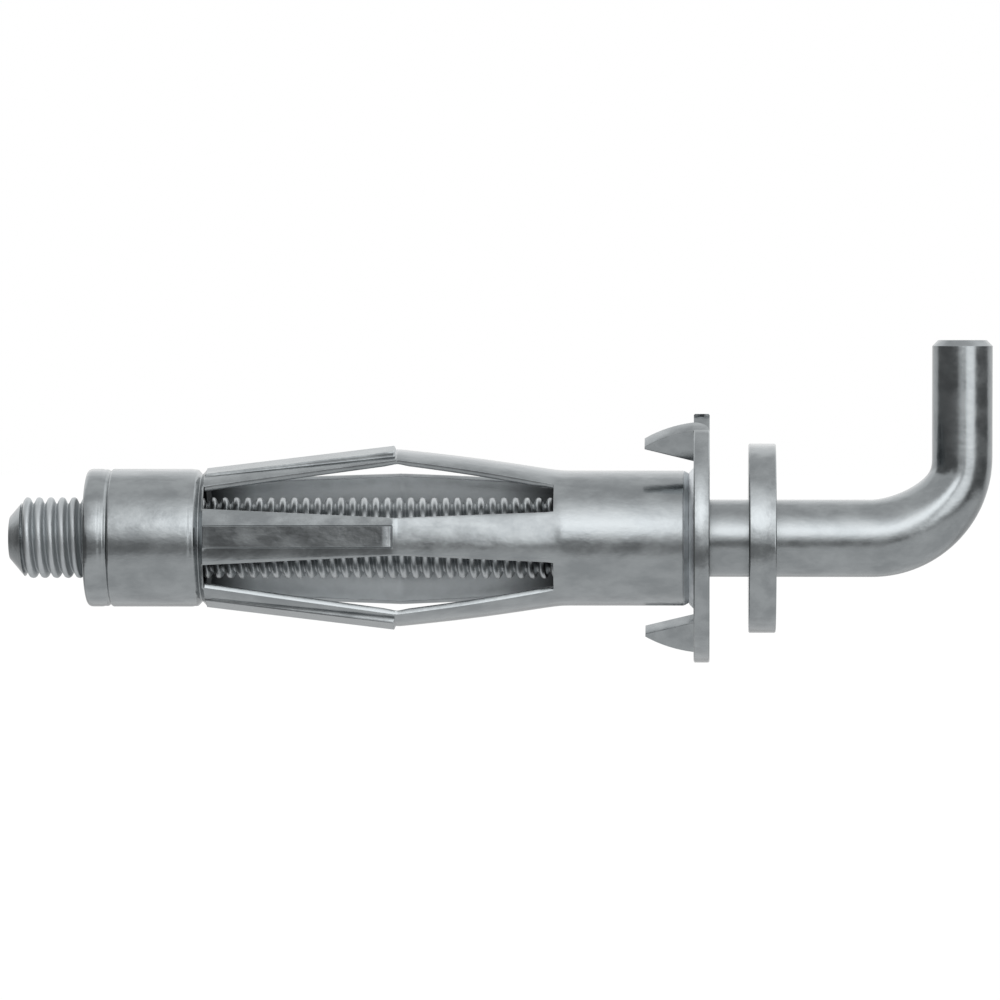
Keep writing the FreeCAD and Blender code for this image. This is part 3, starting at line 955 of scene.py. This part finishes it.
rim_light = behind * light.stretched(rise, *RIM_LIGHT_BOTTOM_EDGE)
rim_light = rim_light * (1 - light.stretched(rise, *RIM_LIGHT_TOP_EDGE))
low_back = behind * (1 - light.stretched(rise, *LOW_BACK_EDGE))
shine(shell, light, 1 + soft_box - dark_card + rim_light * RIM_LIGHT
      - low_back * LOW_BACK_DARKNESS)
shell.visible_camera = False
shell.visible_shadow = False
shell.visible_diffuse = False

# The floor is far below, and it looks white in the picture and in reflections.

FLOOR_HEIGHT = -0.55
FLOOR_SIZE = 40
FLOOR_GLOW = 0.62
FLOOR_GREY = (0.4, 0.4, 0.4, 1)

floor_mesh = bmesh.new()
bmesh.ops.create_grid(
    floor_mesh, x_segments=1, y_segments=1, size=FLOOR_SIZE / 2,
    matrix=Matrix.Translation((0, 0, FLOOR_HEIGHT)))
floor = new_piece("floor", floor_mesh)
floor_white = Finish("floor_white")
path = floor_white.node("ShaderNodeLightPath", {}, {})
seen = Field(floor_white, path.outputs["Is Camera Ray"])
seen = seen + Field(floor_white, path.outputs["Is Glossy Ray"])
seen = seen + Field(floor_white, path.outputs["Is Transmission Ray"])
floor_glow = shine(floor, floor_white, seen * FLOOR_GLOW)
matt = floor_white.node("ShaderNodeBsdfDiffuse", {}, {"Color": FLOOR_GREY})
both = floor_white.node(
    "ShaderNodeAddShader", {}, {0: floor_glow.outputs[0], 1: matt.outputs[0]})
floor_white.tree.links.new(
    both.outputs[0], floor_white.tree.nodes["Material Output"].inputs["Surface"])


# Camera: a long lens that stands in front of the plate, a little above the screw,
# and is turned towards the middle of the picture.

PIXEL = 0.0859 * MM
PICTURE = 1000
AXIS_ROW = 538.1
ORIGIN_COLUMN = 693.7
AIM_COLUMN = 580
CAMERA_DISTANCE = 0.5
CAMERA_RISE = math.radians(2.2)
CAMERA_TURN = math.radians(1.24)
SENSOR = 36
CLIP_START = 0.01
CLIP_END = 60

camera_data = bpy.data.cameras.new("camera")
camera = bpy.data.objects.new("camera", camera_data)
bpy.context.scene.collection.objects.link(camera)
bpy.context.scene.camera = camera
camera_data.sensor_width = SENSOR
camera_data.lens = SENSOR * CAMERA_DISTANCE / (PICTURE * PIXEL)
camera_data.shift_x = (PICTURE / 2 - AIM_COLUMN) / PICTURE
camera_data.shift_y = (AXIS_ROW - PICTURE / 2) / PICTURE
camera.rotation_euler = (math.pi / 2 - CAMERA_RISE, 0, CAMERA_TURN)
backward = camera.rotation_euler.to_matrix() @ Vector((0, 0, 1))
aim = Vector(((AIM_COLUMN - ORIGIN_COLUMN) * PIXEL, 0, 0))
camera.location = aim + backward * CAMERA_DISTANCE
camera_data.clip_start = CLIP_START
camera_data.clip_end = CLIP_END

bpy.context.scene.view_settings.view_transform = "Standard"
